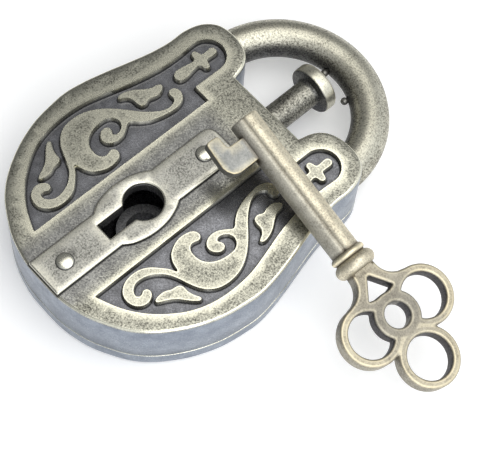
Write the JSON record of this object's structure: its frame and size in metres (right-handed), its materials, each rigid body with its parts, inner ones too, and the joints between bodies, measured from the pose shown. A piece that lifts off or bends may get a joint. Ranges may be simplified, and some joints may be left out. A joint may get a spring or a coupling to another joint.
{
  "type": "padlock",
  "caption": "Vintage heart-shaped warded padlock in cast antique-bronze metal, with scroll relief, swinging shackle, sprung plunger and a loose skeleton key lying across it.",
  "frame": {"origin": "on the flat back of the case, under the middle of the keyhole circle", "axes": "+X to the lock's right seen from the front, +Y towards the shackle, +Z out of the decorated face; the lock lies on its back"},
  "size_m": [0.0718, 0.0648, 0.0212],
  "materials": {
    "antique_case": "antique bronze plating on cast zinc alloy, dark in the recesses and worn bright on the edges",
    "antique_strap": "antique bronze plating, brushed, with bright worn edges",
    "antique_shackle": "antique bronze plating, mottled and burnished",
    "key_metal": "light antique bronze, polished",
    "inner_steel": "plain steel"
  },
  "bodies": {
    "case": {"front_shell": "antique_case", "back_shell": "antique_case", "keyhole_strap": "antique_strap", "strap_rivet_upper": "antique_strap", "strap_rivet_lower": "antique_strap", "case_rivet_lower_left": "antique_case", "case_rivet_lower_right": "antique_case", "case_rivet_upper_left": "antique_case", "case_rivet_upper_right": "antique_case", "shackle_pivot_pin": "inner_steel", "plunger_spring": "inner_steel", "bolt_guide_pin": "inner_steel", "bolt_leaf_spring": "inner_steel", "ward_ring": "inner_steel"},
    "shackle": {"shackle": "antique_shackle", "shackle_stud_left": "antique_shackle", "shackle_stud_right": "antique_shackle"},
    "plunger": {"plunger": "antique_shackle", "plunger_collar": "inner_steel"},
    "bolt": {"bolt": "inner_steel"},
    "key": {"key": "key_metal"}
  },
  "joints": [
    {"name": "shackle_swing", "type": "hinge", "parent": "case", "child": "shackle", "pos_m": [-0.0141, 0.024, 0.0062], "axis": [0, 0, 1], "range_deg": [0, 60]},
    {"name": "plunger_press", "type": "slide", "parent": "case", "child": "plunger", "axis": [0, -1, 0], "range_m": [0, 0.004], "stiffness_N_per_m": 400, "springref_m": -0.002, "deforming": ["plunger_spring"]},
    {"name": "bolt_throw", "type": "slide", "parent": "case", "child": "bolt", "axis": [1, 0, 0], "range_m": [0, 0.0024]},
    {"name": "key_lift", "type": "slide", "parent": "case", "child": "key", "axis": [0, 0, 1], "range_m": [0, 0.04]}
  ]
}
